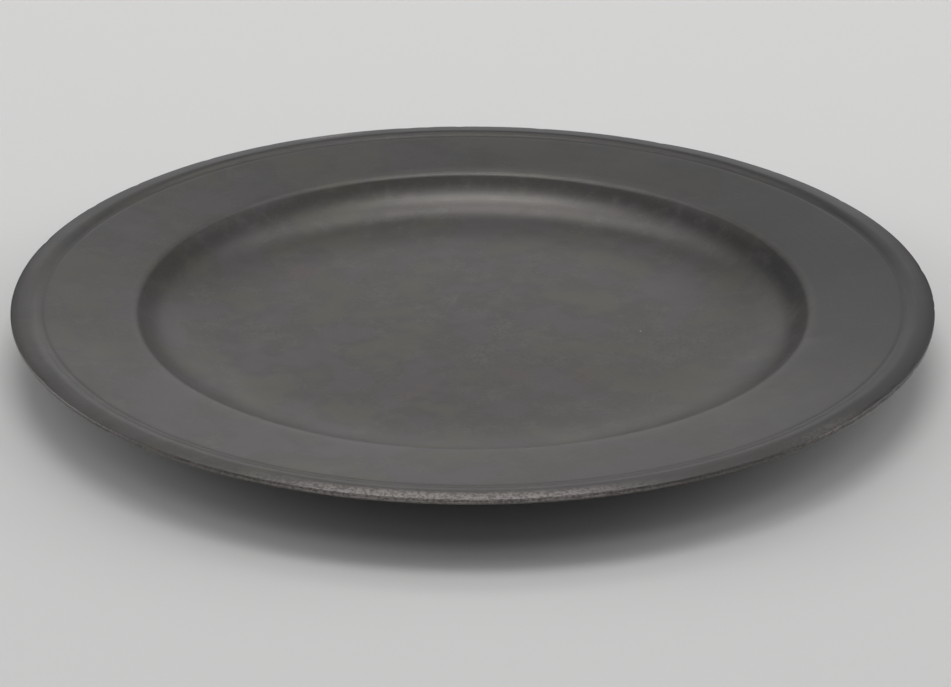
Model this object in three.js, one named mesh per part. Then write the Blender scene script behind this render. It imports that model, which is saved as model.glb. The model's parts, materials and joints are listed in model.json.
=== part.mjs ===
// Pewter paten plate: one casting, skimmed on a lathe, with a single reed round the rim.
// Millimetres, +Z up. The origin is the centre of the flat base that the plate stands on.
import * as THREE from "three";

const { degToRad, lerp } = THREE.MathUtils;

// Driving dimensions. A slope is the rise of the upper face outwards.
const RIM_RADIUS = 120; // the plate is 240 mm across
const RIM_HEIGHT = 15.2; // base to the upper arris of the edge face
const EDGE_FACE = 1; // height of the narrow upright face round the edge
const BEVEL_WIDTH = 3.2; // the underside rises to the edge face over this width
const WALL = 1.8; // thickness of the floor, the booge and the brim

const REED_CREST_RADIUS = 116;
const REED_CREST_HEIGHT = 15.6; // the highest line of the plate
const GROOVE_RADIUS = 112.1; // turned groove at the foot of the reed
const GROOVE_WIDTH = 0.9;
const GROOVE_DEPTH = 0.3;

const BRIM_SLOPE = degToRad(7.6);
const EASING_RADIUS = 50; // the brim bends down gently first
const EASING_SLOPE = degToRad(10);
const CREST_RADIUS = 4; // and then sharply, in the crest at the mouth of the well
const MOUTH_SLOPE = degToRad(31); // slope at the mouth, where the well's sides fall into shade
const MOUTH = new THREE.Vector2(88.5, 10.9); // radius and height of the mouth
const BOOGE_SLOPE = degToRad(44); // the steepest slope, at the top of the booge
const FLOOR_RADIUS = 46; // the level floor ends here and the booge begins

// Fineness
const SEGMENTS = 72; // round the axis
const BOOGE_STEPS = 11;
const CREST_STEPS = 3;
const EASING_STEPS = 2;
const REED_STEPS = 3; // on each side of the reed's crest

const PEWTER = new THREE.MeshStandardMaterial({ color: 0x55534f, roughness: 0.5, metalness: 0.85 });

// A point of the upper face: its radius, its height and the slope there.
function facePoint(r, z, slope) {
  return { r, z, slope };
}

// Centre of the convex arc that passes through a point of the upper face at its slope.
function arcCentre(point, radius) {
  return new THREE.Vector2(
    point.r + radius * Math.sin(point.slope),
    point.z - radius * Math.cos(point.slope),
  );
}

// Points along a convex arc from one slope to another, going outwards.
function convexArc(centre, radius, fromSlope, toSlope, steps) {
  return Array.from({ length: steps + 1 }, (_, i) => {
    const slope = lerp(fromSlope, toSlope, i / steps);
    return facePoint(centre.x - radius * Math.sin(slope), centre.y + radius * Math.cos(slope), slope);
  });
}

// The booge leaves the floor level and steepens as a power of the distance, to its steepest
// slope at the foot of the crest.
function booge(top) {
  const width = top.r - FLOOR_RADIUS;
  const rise = top.z - WALL;
  const power = (Math.tan(top.slope) * width) / rise;
  return Array.from({ length: BOOGE_STEPS }, (_, i) => {
    const t = i / BOOGE_STEPS;
    const slope = Math.atan((power * rise * t ** (power - 1)) / width);
    return facePoint(FLOOR_RADIUS + t * width, WALL + rise * t ** power, slope);
  });
}

// The smooth part of the upper face, from the edge of the floor to the start of the flat brim.
const crestCentre = arcCentre(facePoint(MOUTH.x, MOUTH.y, MOUTH_SLOPE), CREST_RADIUS);
const crest = convexArc(crestCentre, CREST_RADIUS, BOOGE_SLOPE, EASING_SLOPE, CREST_STEPS);
const easingCentre = arcCentre(crest.at(-1), EASING_RADIUS);
const easing = convexArc(easingCentre, EASING_RADIUS, EASING_SLOPE, BRIM_SLOPE, EASING_STEPS);
const well = [...booge(crest[0]), ...crest, ...easing.slice(1)];
const brimStart = well.at(-1);

// Height of the flat brim's upper face at a radius.
function brimHeight(radius) {
  return brimStart.z + (radius - brimStart.r) * Math.tan(BRIM_SLOPE);
}

// A narrow V turned into the brim.
function groove() {
  const inner = GROOVE_RADIUS - GROOVE_WIDTH / 2;
  const outer = GROOVE_RADIUS + GROOVE_WIDTH / 2;
  return [
    new THREE.Vector2(inner, brimHeight(inner)),
    new THREE.Vector2(GROOVE_RADIUS, brimHeight(GROOVE_RADIUS) - GROOVE_DEPTH),
    new THREE.Vector2(outer, brimHeight(outer)),
  ];
}

// The reed is a low moulding: it falls away from its crest as a parabola on each side, to the
// groove on the inside and to the edge face on the outside.
function reed() {
  const foot = GROOVE_RADIUS + GROOVE_WIDTH / 2;
  const points = [];
  for (let i = 1 - REED_STEPS; i <= REED_STEPS; i += 1) {
    const t = i / REED_STEPS;
    const width = i < 0 ? REED_CREST_RADIUS - foot : RIM_RADIUS - REED_CREST_RADIUS;
    const fall = REED_CREST_HEIGHT - (i < 0 ? brimHeight(foot) : RIM_HEIGHT);
    points.push(new THREE.Vector2(REED_CREST_RADIUS + t * width, REED_CREST_HEIGHT - t * t * fall));
  }
  return points;
}

// The underside lies one wall thickness behind the upper face.
function behind({ r, z, slope }) {
  return new THREE.Vector2(r + WALL * Math.sin(slope), z - WALL * Math.cos(slope));
}

// The upright edge face ends below in a bevel that meets the underside of the brim.
function edge() {
  const bevelFoot = RIM_RADIUS - BEVEL_WIDTH;
  return [
    new THREE.Vector2(RIM_RADIUS, RIM_HEIGHT - EDGE_FACE),
    new THREE.Vector2(bevelFoot, brimHeight(bevelFoot) - WALL / Math.cos(BRIM_SLOPE)),
  ];
}

// The whole section, from the axis along the upper face to the edge, and back underneath.
function section() {
  const upper = well.map(({ r, z }) => new THREE.Vector2(r, z));
  const under = well.map(behind);
  return [
    new THREE.Vector2(0, WALL),
    ...upper,
    ...groove(),
    ...reed(),
    ...edge(),
    ...under.reverse(),
    new THREE.Vector2(0, 0),
  ];
}

// A lathe turns its outline about Y, so the plate is stood up along Z. The outline is taken
// from the underside, so that the faces point out.
function plate() {
  const geometry = new THREE.LatheGeometry(section().reverse(), SEGMENTS);
  geometry.rotateX(Math.PI / 2);
  const mesh = new THREE.Mesh(geometry, PEWTER);
  mesh.name = "plate";
  return mesh;
}

const group = new THREE.Group();
group.add(plate());

export default group;
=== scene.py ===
"""The looks of the pewter paten plate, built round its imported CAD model.

Everything is in metres, in the frame of the CAD model: the origin is the centre of the flat
base and +Z is up. Sizes written with MM are millimetres of the real plate. An azimuth on the
plate is an angle from +X towards +Y.
"""
import json
import math

import bpy
import numpy as np
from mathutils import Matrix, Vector


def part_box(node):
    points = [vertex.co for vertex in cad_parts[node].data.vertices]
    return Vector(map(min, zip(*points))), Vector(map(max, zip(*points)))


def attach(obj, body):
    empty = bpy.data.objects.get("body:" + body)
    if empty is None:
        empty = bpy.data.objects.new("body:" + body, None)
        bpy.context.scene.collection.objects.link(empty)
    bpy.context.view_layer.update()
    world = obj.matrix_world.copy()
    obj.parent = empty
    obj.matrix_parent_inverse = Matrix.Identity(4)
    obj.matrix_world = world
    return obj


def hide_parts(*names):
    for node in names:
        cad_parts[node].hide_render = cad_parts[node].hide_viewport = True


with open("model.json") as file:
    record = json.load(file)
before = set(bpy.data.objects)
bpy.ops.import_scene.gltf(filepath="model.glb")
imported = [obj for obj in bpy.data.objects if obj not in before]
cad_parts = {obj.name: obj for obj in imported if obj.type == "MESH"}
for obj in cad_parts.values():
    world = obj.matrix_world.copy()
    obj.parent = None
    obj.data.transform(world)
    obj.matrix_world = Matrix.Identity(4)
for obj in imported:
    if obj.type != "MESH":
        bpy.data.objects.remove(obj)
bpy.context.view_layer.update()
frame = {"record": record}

MM = 0.001
RIM_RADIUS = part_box("plate")[1].x
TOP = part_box("plate")[1].z
MOUNTS = {mount["name"]: mount for mount in frame["record"]["mounts"]}


# ---------------------------------------------------------------- section of the plate

# The reed's crest and the edge keep a little under the CAD box, so that the warped rim fits.
CREST_CLEARANCE = 0.16 * MM
EDGE_CLEARANCE = 0.45 * MM
REED_CREST = (116 * MM, TOP - CREST_CLEARANCE)
RIM_HEIGHT = TOP - EDGE_CLEARANCE
EDGE_FACE = 1.0 * MM
UPPER_ARRIS = 0.42 * MM
LOWER_ARRIS = 0.2 * MM
BEVEL_WIDTH = 3.2 * MM
WALL = MOUNTS["well_floor"]["pos_m"][2]
GROOVE_RADIUS = 112.1 * MM
GROOVE_WIDTH = 1.6 * MM
GROOVE_DEPTH = 0.08 * MM
BRIM_SLOPE = math.radians(7.6)
EASING_RADIUS = 50 * MM
EASING_SLOPE = math.radians(10)
CREST_RADIUS = 4 * MM
MOUTH = (88.5 * MM, 10.9 * MM)
MOUTH_SLOPE = math.radians(31)
BOOGE_SLOPE = math.radians(44)
FLOOR_RADIUS = 46 * MM
# How finely each stretch of the outline is drawn.
FLAT_POINTS = 40
BOOGE_POINTS = 64
CREST_POINTS = 18
EASING_POINTS = 5
BRIM_POINTS = 20
GROOVE_POINTS = 11
REED_INNER_POINTS = 12
REED_OUTER_POINTS = 18
UPPER_ARRIS_POINTS = 9
LOWER_ARRIS_POINTS = 6
UNDER_BRIM_POINTS = 18


def arc_centre(r, z, slope, radius):
    return r + radius * math.sin(slope), z - radius * math.cos(slope)


def convex_arc(centre, radius, slopes):
    """Points of radius, height and slope along an arc of the upper face."""
    return np.column_stack(
        (centre[0] - radius * np.sin(slopes), centre[1] + radius * np.cos(slopes), slopes)
    )


def booge(top):
    """The power curve from the edge of the level floor up to the foot of the crest."""
    width, rise = top[0] - FLOOR_RADIUS, top[1] - WALL
    power = math.tan(top[2]) * width / rise
    t = np.linspace(0, 1, BOOGE_POINTS, endpoint=False)
    slopes = np.arctan(power * rise * t ** (power - 1) / width)
    return np.column_stack((FLOOR_RADIUS + t * width, WALL + rise * t**power, slopes))


def smooth_face():
    """Radius, height and slope from the edge of the floor to the start of the flat brim."""
    crest_slopes = np.linspace(BOOGE_SLOPE, EASING_SLOPE, CREST_POINTS)
    crest_centre = arc_centre(*MOUTH, MOUTH_SLOPE, CREST_RADIUS)
    crest = convex_arc(crest_centre, CREST_RADIUS, crest_slopes)
    easing_slopes = np.linspace(EASING_SLOPE, BRIM_SLOPE, EASING_POINTS)
    easing_centre = arc_centre(*crest[-1], EASING_RADIUS)
    easing = convex_arc(easing_centre, EASING_RADIUS, easing_slopes)
    return np.vstack((booge(crest[0]), crest, easing[1:]))


FACE = smooth_face()


def brim_height(r):
    return FACE[-1, 1] + (r - FACE[-1, 0]) * math.tan(BRIM_SLOPE)


def groove():
    """A shallow hollow, rounded at its bottom and at its lips."""
    r = np.linspace(-1, 1, GROOVE_POINTS) * GROOVE_WIDTH / 2 + GROOVE_RADIUS
    dip = (1 + np.cos((r - GROOVE_RADIUS) / GROOVE_WIDTH * 2 * math.pi)) / 2
    return np.column_stack((r, brim_height(r) - GROOVE_DEPTH * dip))


def reed():
    """A low moulding that falls away as a parabola on each side of its crest."""
    foot = GROOVE_RADIUS + GROOVE_WIDTH / 2
    inner = np.linspace(-1, 0, REED_INNER_POINTS)[1:]
    outer = np.linspace(0, 1, REED_OUTER_POINTS)[1:-1]
    width_in, fall_in = REED_CREST[0] - foot, REED_CREST[1] - brim_height(foot)
    width_out, fall_out = RIM_RADIUS - REED_CREST[0], REED_CREST[1] - RIM_HEIGHT
    return np.vstack((
        np.column_stack((REED_CREST[0] + inner * width_in, REED_CREST[1] - inner**2 * fall_in)),
        np.column_stack((REED_CREST[0] + outer * width_out, REED_CREST[1] - outer**2 * fall_out)),
    ))


def rounded(corner, before, after, reach, count):
    """A corner of the outline, worn round over the reach on each side of it."""
    start = corner + reach * (before - corner) / np.linalg.norm(before - corner)
    end = corner + reach * (after - corner) / np.linalg.norm(after - corner)
    t = np.linspace(0, 1, count)[:, None]
    return (1 - t) ** 2 * start + 2 * t * (1 - t) * corner + t**2 * end


def edge(last_of_reed, bevel_foot):
    """The upright edge face between its two arrises."""
    upper = np.array((RIM_RADIUS, RIM_HEIGHT))
    lower = np.array((RIM_RADIUS, RIM_HEIGHT - EDGE_FACE))
    return np.vstack((
        rounded(upper, last_of_reed, lower, UPPER_ARRIS, UPPER_ARRIS_POINTS),
        rounded(lower, upper, bevel_foot, LOWER_ARRIS, LOWER_ARRIS_POINTS),
    ))


def flat_disc(height):
    """The level middle of a face, between the axis and the start of the booge."""
    r = np.linspace(0, FLOOR_RADIUS, FLAT_POINTS)[1:-1]
    return np.column_stack((r, np.full_like(r, height)))


def upper_face():
    brim = np.linspace(FACE[-1, 0], GROOVE_RADIUS - GROOVE_WIDTH / 2, BRIM_POINTS)[1:-1]
    flat_brim = np.column_stack((brim, brim_height(brim)))
    return np.vstack((flat_disc(WALL), FACE[:, :2], flat_brim, groove(), reed()))


def under_face():
    """One wall thickness behind the upper face, going outwards to the foot of the bevel."""
    sines, cosines = np.sin(FACE[:, 2]), np.cos(FACE[:, 2])
    behind = np.column_stack((FACE[:, 0] + WALL * sines, FACE[:, 1] - WALL * cosines))
    brim = np.linspace(behind[-1, 0], RIM_RADIUS - BEVEL_WIDTH, UNDER_BRIM_POINTS)[1:]
    flat_brim = np.column_stack((brim, brim_height(brim) - WALL / math.cos(BRIM_SLOPE)))
    return np.vstack((flat_disc(0), behind, flat_brim))


def outline():
    """Radius and height all round the section, from the top of the floor to the base."""
    upper, under = upper_face(), under_face()
    return np.vstack((upper, edge(upper[-1], under[-1]), under[::-1]))


OUTLINE = outline()
RADII, HEIGHTS = OUTLINE[:, :1], OUTLINE[:, 1:]
IS_UPPER = (np.arange(len(OUTLINE)) <= np.argmax(RADII))[:, None]


# ---------------------------------------------------------------- what age did to the shape

SEGMENTS = 960
# Where the rim is out of true: the azimuth, the spread and the height.
RIM_SAG = (math.radians(68), math.radians(26), -0.35 * MM)
RIM_LIFT = (math.radians(115), math.radians(12), 0.10 * MM)
# Ranges of random sizes are in millimetres, and a steepness is a height for a length.
RIPPLES = 14
RIPPLE_SEED = 5
RIPPLE_LENGTHS = (16, 60)
RIPPLE_STEEPNESS = 0.0009
DINGS = 46
DING_SEED = 12
DING_SIZES = (1.0, 3.2)
DING_STEEPNESS = (0.008, 0.024)
DINGED_SHARE = 0.86  # of the disc's area, so that no dent has its middle on the reed
NICKS = 34
NICK_SEED = 3
NICK_SIZES = (0.5, 1.6)
NICK_DEPTHS = (0.05, 0.2)
NICK_REACH = 1.3 * MM  # how far in from the edge a nick is felt
NICK_SINK = 0.5  # how far a nick goes down for its depth inwards
NICK_CLUSTER = math.radians(-44)
CLUSTER_SPREAD = 0.09  # radians, for every third nick
OPEN_SPREAD = 10  # radians, so wide that the other nicks fall anywhere round the edge


def lobe(azimuths, centre, spread):
    """A smooth hump of height 1 on the circle."""
    return np.exp((np.cos(azimuths - centre) - 1) / spread**2)


def warp(azimuths):
    """How far the rim has sagged or lifted."""
    places = (RIM_SAG, RIM_LIFT)
    return sum(height * lobe(azimuths, centre, spread) for centre, spread, height in places)


def ripples(x, y):
    """The faint unevenness of an old casting, as a sum of waves."""
    rng = np.random.default_rng(RIPPLE_SEED)
    height = np.zeros_like(x)
    for _ in range(RIPPLES):
        heading, phase = rng.uniform(0, 2 * math.pi, 2)
        length = rng.uniform(*RIPPLE_LENGTHS) * MM
        along = x * math.cos(heading) + y * math.sin(heading)
        height += np.sin(along * 2 * math.pi / length + phase) * length * RIPPLE_STEEPNESS
    return height / math.sqrt(RIPPLES)


def dings(x, y):
    """Small soft dents scattered over a face."""
    rng = np.random.default_rng(DING_SEED)
    height = np.zeros_like(x)
    for _ in range(DINGS):
        r = RIM_RADIUS * math.sqrt(rng.uniform(0, DINGED_SHARE))
        azimuth = rng.uniform(0, 2 * math.pi)
        size = rng.uniform(*DING_SIZES) * MM
        away = np.hypot(x - r * math.cos(azimuth), y - r * math.sin(azimuth))
        height -= np.exp(-((away / size) ** 2)) * size * rng.uniform(*DING_STEEPNESS)
    return height


def nicks(azimuths):
    """Depth of the small nicks along the edge, which lie thickest at the front right."""
    rng = np.random.default_rng(NICK_SEED)
    depth = np.zeros_like(azimuths)
    for n in range(NICKS):
        spread = CLUSTER_SPREAD if n % 3 == 0 else OPEN_SPREAD
        centre = rng.normal(NICK_CLUSTER, spread)
        width = rng.uniform(*NICK_SIZES) * MM / RIM_RADIUS
        depth += rng.uniform(*NICK_DEPTHS) * MM * lobe(azimuths, centre, width)
    return depth


def plate_points():
    """The outline turned about the axis and then aged, as rings by segments by XYZ."""
    azimuths = np.arange(SEGMENTS) * 2 * math.pi / SEGMENTS
    at_edge = np.clip(1 - (RIM_RADIUS - RADII) / NICK_REACH, 0, 1) ** 2
    nicked = at_edge * nicks(azimuths)
    r = RADII - nicked
    x, y = r * np.cos(azimuths), r * np.sin(azimuths)
    lean = np.clip((RADII - FLOOR_RADIUS) / (RIM_RADIUS - FLOOR_RADIUS), 0, 1)
    shared = np.where(IS_UPPER, 1, lean)
    z = HEIGHTS + lean**2 * warp(azimuths) + shared * ripples(x, y) + IS_UPPER * dings(x, y)
    z = z - nicked * NICK_SINK
    return np.stack((x, y, np.clip(z, 0, TOP)), axis=-1)


# ---------------------------------------------------------------- wear, tarnish, grime, stains, and painted light and shade

# Sides of the plate: the azimuth of the middle, and the spread. The camera stands at -90 degrees.
NEAR_SIDE = (math.radians(-97), math.radians(45))
FAR_SIDE = (math.radians(85), math.radians(45))
RIGHT_SIDE = (math.radians(3), math.radians(36))
# The far booge and the shoulders of the crest, where painted highlights and painted light go.
HIGHLIGHT_ON_BOOGE = (math.radians(84), math.radians(22))
LIGHTENED_SHOULDERS = (
    (math.radians(-118), math.radians(16)),
    (math.radians(-62), math.radians(16)),
)
# Each worn place on the reed, those at the near side also a painted highlight: its azimuth, its
# spread and how worn it is.
REED_WEAR_AND_HIGHLIGHT = (
    (math.radians(-96), math.radians(9), 1.5),
    (math.radians(-80), math.radians(5), 0.5),
    (math.radians(112), math.radians(3), 0.7),
    (math.radians(-47), math.radians(4), 0.25),
)
# The azimuth and the spread of the stretch of the edge that is rubbed bright, partly a painted
# highlight.
ARRIS_WEAR_AND_HIGHLIGHT = (math.radians(-97), math.radians(34))
# Rings of the plate that a mask marks: their radius and spread.
ARRIS = (RIM_RADIUS, 0.25 * MM)
GROOVE_DIRT = (GROOVE_RADIUS, 0.6 * MM)
CREST_TOP = (MOUTH[0] + 1.5 * MM, 1.8 * MM)
CREST = (MOUTH[0] - 3 * MM, 4.5 * MM)
UNDER_CREST = (MOUTH[0] - 3 * MM, 3 * MM)
UPPER_BOOGE = (79 * MM, 5 * MM)
LOWER_BOOGE = (64 * MM, 5 * MM)
FOOT = (FLOOR_RADIUS + 6 * MM, 5 * MM)
BEVEL_FOOT = (RIM_RADIUS - BEVEL_WIDTH, 1.2 * MM)
# Zones that reach outwards to the edge: where each starts, and the width over which it sets in.
OUTER_REED = (REED_CREST[0] + 0.2 * MM, 2 * MM)
REED = (GROOVE_RADIUS, 4 * MM)
BRIM = (MOUTH[0], 3 * MM)
BOOGE = (64 * MM, 10 * MM)
OUTER_FLOOR = (34 * MM, 30 * MM)
# Each brown stain on the floor: its X, Y and radius.
STAINS = (
    (10 * MM, -30 * MM, 5 * MM),
    (29 * MM, -32 * MM, 4 * MM),
    (-11 * MM, -43 * MM, 5 * MM),
    (-46 * MM, 34 * MM, 6 * MM),
)


def azimuths_of(points):
    return np.arctan2(points[..., 1], points[..., 0])


def on_ring(centre, spread):
    """A smooth hump of height 1 across a ring."""
    return np.exp(-(((RADII - centre) / spread) ** 2))


def beyond(start, width):
    """Rises from 0 to 1 over the width, going outwards from the start."""
    t = np.clip((RADII - start) / width, 0, 1)
    return t * t * (3 - 2 * t)


def wear(points):
    """Where knocks and handling have laid the grain bare: the edge, the reed and the foot. At the
    near side the edge and the reed also carry a painted highlight.
    """
    azimuths = azimuths_of(points)
    arris = on_ring(*ARRIS) * (0.06 + 0.3 * lobe(azimuths, *ARRIS_WEAR_AND_HIGHLIGHT))
    reed_wear_and_highlight = sum(depth * lobe(azimuths, at, spread) for at, spread, depth in REED_WEAR_AND_HIGHLIGHT)
    outer_reed = beyond(*OUTER_REED) * reed_wear_and_highlight
    return np.clip(arris + np.where(IS_UPPER, outer_reed, 0.5 * on_ring(*FOOT)), 0, 1)


def polish(points):
    """Painted light and highlights: a lighter near brim, a lightened crest at the near side and its
    shoulders, and highlights on the crest top and the upper booge at the far side.
    """
    azimuths = azimuths_of(points)
    near, far = lobe(azimuths, *NEAR_SIDE), lobe(azimuths, *HIGHLIGHT_ON_BOOGE)
    shoulders = sum(lobe(azimuths, *shoulder) for shoulder in LIGHTENED_SHOULDERS)
    brim = beyond(*OUTER_FLOOR) * near * 0.06
    crest = on_ring(*CREST) * (0.08 * near + 0.26 * shoulders)
    crest_top = on_ring(*CREST_TOP) * far * 0.18
    upper_booge = on_ring(*UPPER_BOOGE) * far * 0.31
    return (brim + crest + crest_top + upper_booge) * IS_UPPER


def tarnish(points):
    """The patina darker on the brim and the reed, with painted shade: darker still at the right and
    at the back, a dark band low on the booge at the back, and less dark at the near side.
    """
    azimuths = azimuths_of(points)
    near, far = lobe(azimuths, *NEAR_SIDE), lobe(azimuths, *FAR_SIDE)
    right = lobe(azimuths, *RIGHT_SIDE)
    booge_dark = beyond(*BOOGE) * 0.3 * right + on_ring(*LOWER_BOOGE) * 0.4 * far
    brim_dark = beyond(*BRIM) * (0.3 + 0.4 * right + 0.03 * far - 0.3 * near)
    reed_dark = beyond(*REED) * (0.32 + 0.6 * right + 0.3 * far - 0.25 * near)
    return np.clip((booge_dark + brim_dark + reed_dark) * IS_UPPER, 0, 1)


def grime(points):
    """Dirt in the groove and behind the edge, and painted shade in a band under the crest, darkest
    at the right and faint at the near side.
    """
    azimuths = azimuths_of(points)
    around = 0.65 + 0.3 * lobe(azimuths, *RIGHT_SIDE) - 0.7 * lobe(azimuths, *NEAR_SIDE)
    under_crest = on_ring(*UNDER_CREST) * np.clip(around, 0, 1)
    return np.where(IS_UPPER, 0.2 * on_ring(*GROOVE_DIRT) + under_crest, 0.5 * on_ring(*BEVEL_FOOT))


def stain(points):
    """The brown stains on the floor."""
    x, y = points[..., 0], points[..., 1]
    spots = sum(np.exp(-(np.hypot(x - at_x, y - at_y) / size) ** 2) for at_x, at_y, size in STAINS)
    return np.clip(spots, 0, 1) * IS_UPPER


MASKS = (wear, polish, tarnish, grime, stain)


# ---------------------------------------------------------------- the plate's mesh

def grid_faces(rings):
    """Quads between neighbouring rings, and a fan that closes each end on the axis."""
    ring, segment = np.meshgrid(np.arange(rings - 1), np.arange(SEGMENTS), indexing="ij")
    a = ring * SEGMENTS + segment
    b = ring * SEGMENTS + (segment + 1) % SEGMENTS
    quads = np.stack((a, a + SEGMENTS, b + SEGMENTS, b), axis=-1).reshape(-1, 4)
    first = np.arange(SEGMENTS)
    following = (first + 1) % SEGMENTS
    last = (rings - 1) * SEGMENTS
    top_pole = np.full(SEGMENTS, rings * SEGMENTS)
    base_pole = top_pole + 1
    top_fan = np.stack((top_pole, first, following), axis=-1)
    base_fan = np.stack((base_pole, last + following, last + first), axis=-1)
    return quads.tolist() + top_fan.tolist() + base_fan.tolist()


def plate_mesh():
    points = plate_points()
    poles = ((0, 0, points[0, :, 2].mean()), (0, 0, 0))
    vertices = np.vstack((points.reshape(-1, 3), poles))
    mesh = bpy.data.meshes.new("pewter_plate")
    mesh.from_pydata(vertices.tolist(), [], grid_faces(len(points)))
    mesh.polygons.foreach_set("use_smooth", np.ones(len(mesh.polygons), bool))
    for mask in MASKS:
        values = np.append(mask(points).ravel(), (0, 0))
        mesh.attributes.new(mask.__name__, "FLOAT", "POINT").data.foreach_set("value", values)
    mesh.update()
    return mesh


# ---------------------------------------------------------------- the pewter

METALLIC = 0.45  # the patina lets only part of the metal through
ROUGHNESS = (0.29, 0.35)
GRIME_AND_SHADE_ROUGHNESS = 0.2
# Scales of the noises, per metre.
CLOUDS = 26.0
HUES = 55.0
MOTTLE = 170.0
GRAIN = 1400.0
SCRATCH_RUN = 45.0  # along a scratch
HUE_SHIFT = (0.3, 0.1, 0.2)  # metres, so that the hues don't follow the clouds
TURNING_PITCH = 0.45 * MM
TURNING_BREAKS = 2.5
# Each set of scratches: its heading, the width of a scratch and how rare they are.
SCRATCHES = ((math.radians(24), 0.45 * MM, 0.70), (math.radians(-61), 0.4 * MM, 0.71))
PIT_CELL = 5 * MM
PITTED_SHARE = 0.1
PIT_SIZE = 0.08  # of a cell
TURNING_DEPTH = 0.008 * MM
GRAIN_DEPTH = 0.018 * MM
PIT_DEPTH = 0.05 * MM
# Colours, in linear light.
PATINA = (0.0880, 0.0855, 0.0775)
PALE_PATINA = (0.111, 0.108, 0.098)
DARK_PATINA = (0.070, 0.068, 0.063)
# Tarnish, also used for painted shade.
TARNISH_AND_SHADE = (0.040, 0.038, 0.036)
BROWN = (0.106, 0.080, 0.069)
OLIVE = (0.090, 0.089, 0.070)
VIOLET = (0.090, 0.081, 0.083)
# Bare worn metal, also used for painted highlights.
WORN_AND_HIGHLIGHT = (0.30, 0.275, 0.258)
# Dirt, also used for painted shade under the crest.
GRIME_AND_SHADE = (0.018, 0.016, 0.016)
SPECK = (0.38, 0.375, 0.355)


class Graph:
    """Short names for building the nodes of one material."""

    def __init__(self, material):
        material.use_nodes = True
        self.tree = material.node_tree
        self.shader = self.tree.nodes["Principled BSDF"]

    def add(self, kind, inputs, output=0, **settings):
        """A new node's output. Each input, by name or number, is a value or another's output."""
        node = self.tree.nodes.new("ShaderNode" + kind)
        for name, value in settings.items():
            setattr(node, name, value)
        for key, value in inputs.items():
            self.connect(node, key, value)
        return node.outputs[output]

    def connect(self, node, key, value):
        if isinstance(value, bpy.types.NodeSocket):
            self.tree.links.new(value, node.inputs[key])
        else:
            node.inputs[key].default_value = value

    def attribute(self, name):
        """The value of one of the mesh's masks."""
        return self.add("Attribute", {}, output="Fac", attribute_name=name)

    def noise(self, vector, scale, detail=4.0, roughness=0.55):
        inputs = {"Vector": vector, "Scale": scale, "Detail": detail, "Roughness": roughness}
        return self.add("TexNoise", inputs)

    def math(self, operation, a, b):
        return self.add("Math", {0: a, 1: b}, operation=operation)

    def step(self, value, low, high, bottom=0.0, top=1.0):
        """Eases from bottom to top while the value goes from low to high."""
        inputs = {"Value": value, 1: low, 2: high, 3: bottom, 4: top}
        return self.add("MapRange", inputs, interpolation_type="SMOOTHSTEP")

    def blend(self, factor, a, b):
        inputs = {"Factor": factor, 6: self.colour(a), 7: self.colour(b)}
        return self.add("Mix", inputs, output=2, data_type="RGBA")

    @staticmethod
    def colour(value):
        return value if isinstance(value, bpy.types.NodeSocket) else (*value, 1)


def polar(graph, position, pitch, breaks):
    """A vector for noise in rings: it changes once per pitch outwards, and slowly round."""
    flat = graph.add("VectorMath", {0: position, 1: (1, 1, 0)}, operation="MULTIPLY")
    radius = graph.add("VectorMath", {0: flat}, output="Value", operation="LENGTH")
    heading = graph.add("VectorMath", {0: flat}, operation="NORMALIZE")
    slow = graph.add("VectorMath", {0: heading, "Scale": breaks}, operation="SCALE")
    outwards = graph.add("CombineXYZ", {2: graph.math("MULTIPLY", radius, 1 / pitch)})
    return graph.add("VectorMath", {0: slow, 1: outwards}, operation="ADD")


def scratches(graph, position, heading, width, rarity):
    """Thin straight scratches along one heading, as a mask."""
    stretch = (SCRATCH_RUN, 1 / width, SCRATCH_RUN)
    inputs = {"Vector": position, "Rotation": (0, 0, heading), "Scale": stretch}
    stretched = graph.add("Mapping", inputs)
    return graph.step(graph.noise(stretched, 1.0, 1.0), rarity, rarity + 0.05)


def pits(graph, position, cell, share, size):
    """Small round pits, in a share of the cells, as a mask."""
    inputs = {"Vector": position, "Scale": 1 / cell}
    near = graph.step(graph.add("TexVoronoi", inputs), size, size * 0.5)
    chance = graph.add("TexVoronoi", inputs, output="Color")
    return graph.math("MULTIPLY", near, graph.step(chance, 1 - share, 1 - share + 0.02))


def make_noises(graph, position):
    """The patterns that the colour, the gloss and the relief share, by name."""
    shifted = graph.add("VectorMath", {0: position, 1: HUE_SHIFT})
    rings = polar(graph, position, TURNING_PITCH, TURNING_BREAKS)
    return {
        "clouds": graph.noise(position, CLOUDS, 4.0, 0.6),
        "mottle": graph.noise(position, MOTTLE, 4.0, 0.65),
        "grain": graph.noise(position, GRAIN, 2.0, 0.6),
        "hue": graph.noise(shifted, HUES, 2.0),
        "turning": graph.noise(rings, 1.0, 2.0, 0.7),
        "scratch": graph.math("MAXIMUM", *(scratches(graph, position, *s) for s in SCRATCHES)),
        "pit": pits(graph, position, PIT_CELL, PITTED_SHARE, PIT_SIZE),
    }


def patina_colour(graph, noises):
    """The mottled patina, in patches that lean to dark, pale, olive and violet."""
    mottle, hue = noises["mottle"], noises["hue"]
    colour = graph.blend(graph.step(noises["clouds"], 0.35, 0.7), DARK_PATINA, PATINA)
    colour = graph.blend(graph.step(mottle, 0.42, 0.72, 0, 0.9), colour, PALE_PATINA)
    colour = graph.blend(graph.step(noises["grain"], 0.58, 0.3), colour, DARK_PATINA)
    colour = graph.blend(graph.step(hue, 0.52, 0.64, 0, 0.8), colour, OLIVE)
    return graph.blend(graph.step(hue, 0.48, 0.38, 0, 0.8), colour, VIOLET)


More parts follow.
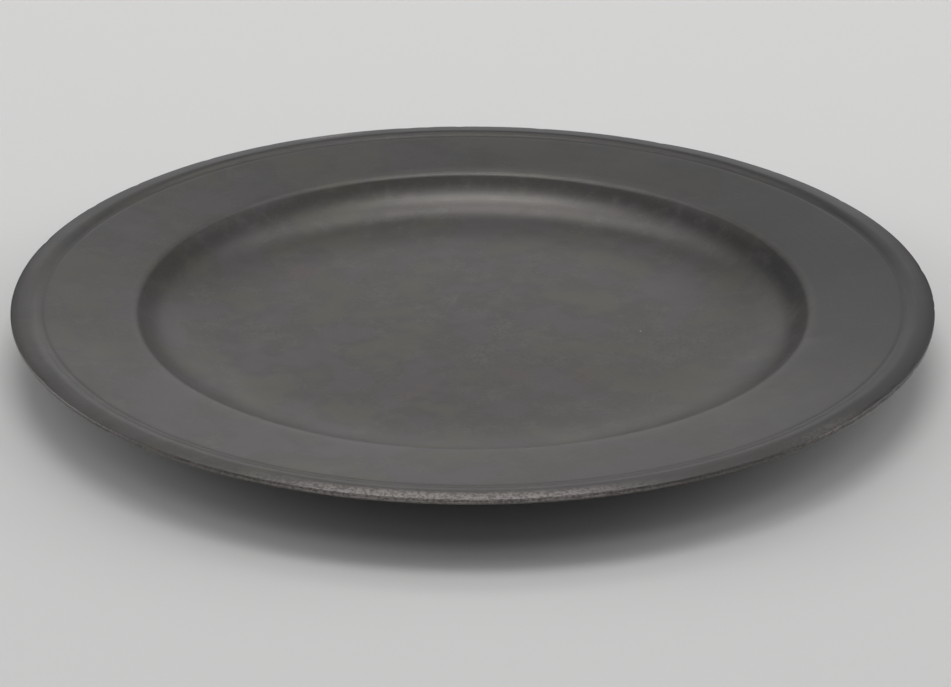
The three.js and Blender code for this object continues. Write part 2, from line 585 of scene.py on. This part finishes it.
def aged_colour(graph, noises, masks):
    """The patina, with what use and dirt have done to it and the painted light and shade laid over
    one by one.
    """
    mottle = noises["mottle"]
    # Tarnish and painted shade.
    colour = graph.blend(masks["tarnish"], patina_colour(graph, noises), TARNISH_AND_SHADE)
    stained = graph.math("MULTIPLY", masks["stain"], graph.step(mottle, 0.4, 0.6, 0, 0.7))
    colour = graph.blend(stained, colour, BROWN)
    colour = graph.blend(graph.step(noises["turning"], 0.55, 0.8, 0, 0.3), colour, PALE_PATINA)
    colour = graph.blend(graph.math("MULTIPLY", noises["scratch"], 0.3), colour, PALE_PATINA)
    # Dirt in the groove and painted shade under the crest.
    dirt_and_shade = graph.math("MULTIPLY", masks["grime"], graph.step(mottle, 0.2, 0.6))
    colour = graph.blend(dirt_and_shade, colour, GRIME_AND_SHADE)
    # Painted light and highlights.
    colour = graph.blend(masks["polish"], colour, WORN_AND_HIGHLIGHT)
    # Bare metal where worn, with a painted highlight on the near reed and edge.
    grainy = graph.step(noises["grain"], 0.38, 0.6, 0.25, 1)
    colour = graph.blend(graph.math("MULTIPLY", masks["wear"], grainy), colour, WORN_AND_HIGHLIGHT)
    return graph.blend(graph.math("MULTIPLY", noises["pit"], 0.8), colour, SPECK)


def roughness(graph, noises, masks):
    patina = graph.step(noises["clouds"], 0.3, 0.7, *ROUGHNESS)
    return graph.math("ADD", patina, graph.math("MULTIPLY", masks["grime"], GRIME_AND_SHADE_ROUGHNESS))


def relief(graph, noises):
    """The turning lines, the grain and the pits, as a bump."""
    height = graph.math("MULTIPLY", noises["turning"], TURNING_DEPTH)
    height = graph.math("ADD", height, graph.math("MULTIPLY", noises["grain"], GRAIN_DEPTH))
    height = graph.math("SUBTRACT", height, graph.math("MULTIPLY", noises["pit"], PIT_DEPTH))
    return graph.add("Bump", {"Height": height, "Distance": 1.0})


def pewter():
    material = bpy.data.materials.new("patinated_pewter")
    graph = Graph(material)
    noises = make_noises(graph, graph.add("TexCoord", {}, output="Object"))
    masks = {mask.__name__: graph.attribute(mask.__name__) for mask in MASKS}
    graph.connect(graph.shader, "Base Color", aged_colour(graph, noises, masks))
    graph.connect(graph.shader, "Metallic", METALLIC)
    graph.connect(graph.shader, "Roughness", roughness(graph, noises, masks))
    graph.connect(graph.shader, "Normal", relief(graph, noises))
    return material


def make_plate():
    plate = bpy.data.objects.new("pewter_plate", plate_mesh())
    bpy.context.scene.collection.objects.link(plate)
    plate.data.materials.append(pewter())
    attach(plate, "root")
    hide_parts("plate")


# ---------------------------------------------------------------- camera, floor and lights

# The camera's place, in rim radii from the middle of the rim, and how far it looks down.
CAMERA_SIDE, CAMERA_BACK, CAMERA_UP = 0.0061, 4.337, 1.881
CAMERA_PITCH = math.radians(25.22)
RIM_LEVEL = TOP - 0.4 * MM
FIELD_OF_VIEW = math.radians(25)
SENSOR_WIDTH = 36  # millimetres, as Blender has it
NEAREST_SEEN = 0.01
FLOOR_SIZE = 16
FLOOR_COLOUR = (0.83, 0.83, 0.812)
FLOOR_ROUGHNESS = 0.9
FLOOR_GLOSS = 0.2
ROOM_COLOUR = (1.0, 0.94, 1.06)
ROOM_STRENGTH = 0.10


def make_camera():
    data = bpy.data.cameras.new("camera")
    data.sensor_width = SENSOR_WIDTH
    data.lens = SENSOR_WIDTH / 2 / math.tan(FIELD_OF_VIEW / 2)
    data.clip_start = NEAREST_SEEN
    camera = bpy.data.objects.new("camera", data)
    camera.location = (
        CAMERA_SIDE * RIM_RADIUS,
        -CAMERA_BACK * RIM_RADIUS,
        RIM_LEVEL + CAMERA_UP * RIM_RADIUS,
    )
    camera.rotation_euler = (math.pi / 2 - CAMERA_PITCH, 0, 0)
    bpy.context.scene.collection.objects.link(camera)
    bpy.context.scene.camera = camera


def make_floor():
    half = FLOOR_SIZE / 2
    mesh = bpy.data.meshes.new("floor")
    corners = ((-half, -half, 0), (half, -half, 0), (half, half, 0), (-half, half, 0))
    mesh.from_pydata(corners, [], [(0, 1, 2, 3)])
    floor = bpy.data.objects.new("floor", mesh)
    bpy.context.scene.collection.objects.link(floor)
    material = bpy.data.materials.new("floor")
    graph = Graph(material)
    graph.connect(graph.shader, "Base Color", (*FLOOR_COLOUR, 1))
    graph.connect(graph.shader, "Roughness", FLOOR_ROUGHNESS)
    graph.connect(graph.shader, "Specular IOR Level", FLOOR_GLOSS)
    mesh.materials.append(material)


def softbox(name, azimuth, elevation, distance, size, power):
    """An area light aimed at the plate. Azimuth 0 is behind the camera, 180 behind the plate."""
    data = bpy.data.lights.new(name, "AREA")
    data.shape = "RECTANGLE"
    data.size, data.size_y = size
    data.energy = power
    light = bpy.data.objects.new(name, data)
    a, e = math.radians(azimuth), math.radians(elevation)
    back = Vector((math.sin(a) * math.cos(e), -math.cos(a) * math.cos(e), math.sin(e)))
    light.location = back * distance
    light.rotation_euler = back.to_track_quat("Z", "Y").to_euler()
    bpy.context.scene.collection.objects.link(light)


def make_lights():
    """Softboxes all round.

    The last number of each, its power, wasn't chosen by hand. It comes from a least-squares fit to
    the brightness of the photo.
    """
    softbox("overhead", 90, 90, 1.4, (0.6, 0.5), 0.60)
    softbox("overhead_wide", 180, 81, 1.4, (1.0, 0.25), 1.90)
    softbox("overhead_back", 183, 74, 1.4, (0.5, 0.2), 1.09)
    softbox("overhead_left", 225, 70, 1.4, (0.5, 0.45), 0.82)
    softbox("overhead_right", 135, 70, 1.4, (0.5, 0.45), 0.81)
    softbox("front_high", 0, 62, 1.4, (1.2, 0.5), 1.11)
    softbox("front", 0, 30, 1.8, (2.0, 0.9), 0.92)
    softbox("back_high", 180, 53, 1.5, (1.4, 0.3), 2.50)
    softbox("back", 180, 30, 2.0, (1.6, 0.4), 1.13)
    softbox("back_lower", 180, 18, 2.0, (1.4, 0.4), 1.38)
    softbox("back_low", 180, 6, 2.0, (1.4, 0.35), 0.64)
    softbox("left", 255, 45, 1.6, (1.0, 0.7), 1.59)
    softbox("left_low", 255, 20, 1.8, (1.2, 0.7), 7.54)
    softbox("right", 105, 45, 1.6, (1.0, 0.7), 2.20)
    softbox("right_low", 105, 20, 1.8, (1.2, 0.7), 7.01)


def make_room():
    """A faint even glow from all round."""
    world = bpy.data.worlds.new("room")
    world.use_nodes = True
    background = world.node_tree.nodes["Background"]
    background.inputs["Color"].default_value = (*ROOM_COLOUR, 1)
    background.inputs["Strength"].default_value = ROOM_STRENGTH
    bpy.context.scene.world = world


make_camera()
make_floor()
make_lights()
make_room()
make_plate()
bpy.context.scene.view_settings.view_transform = "Standard"
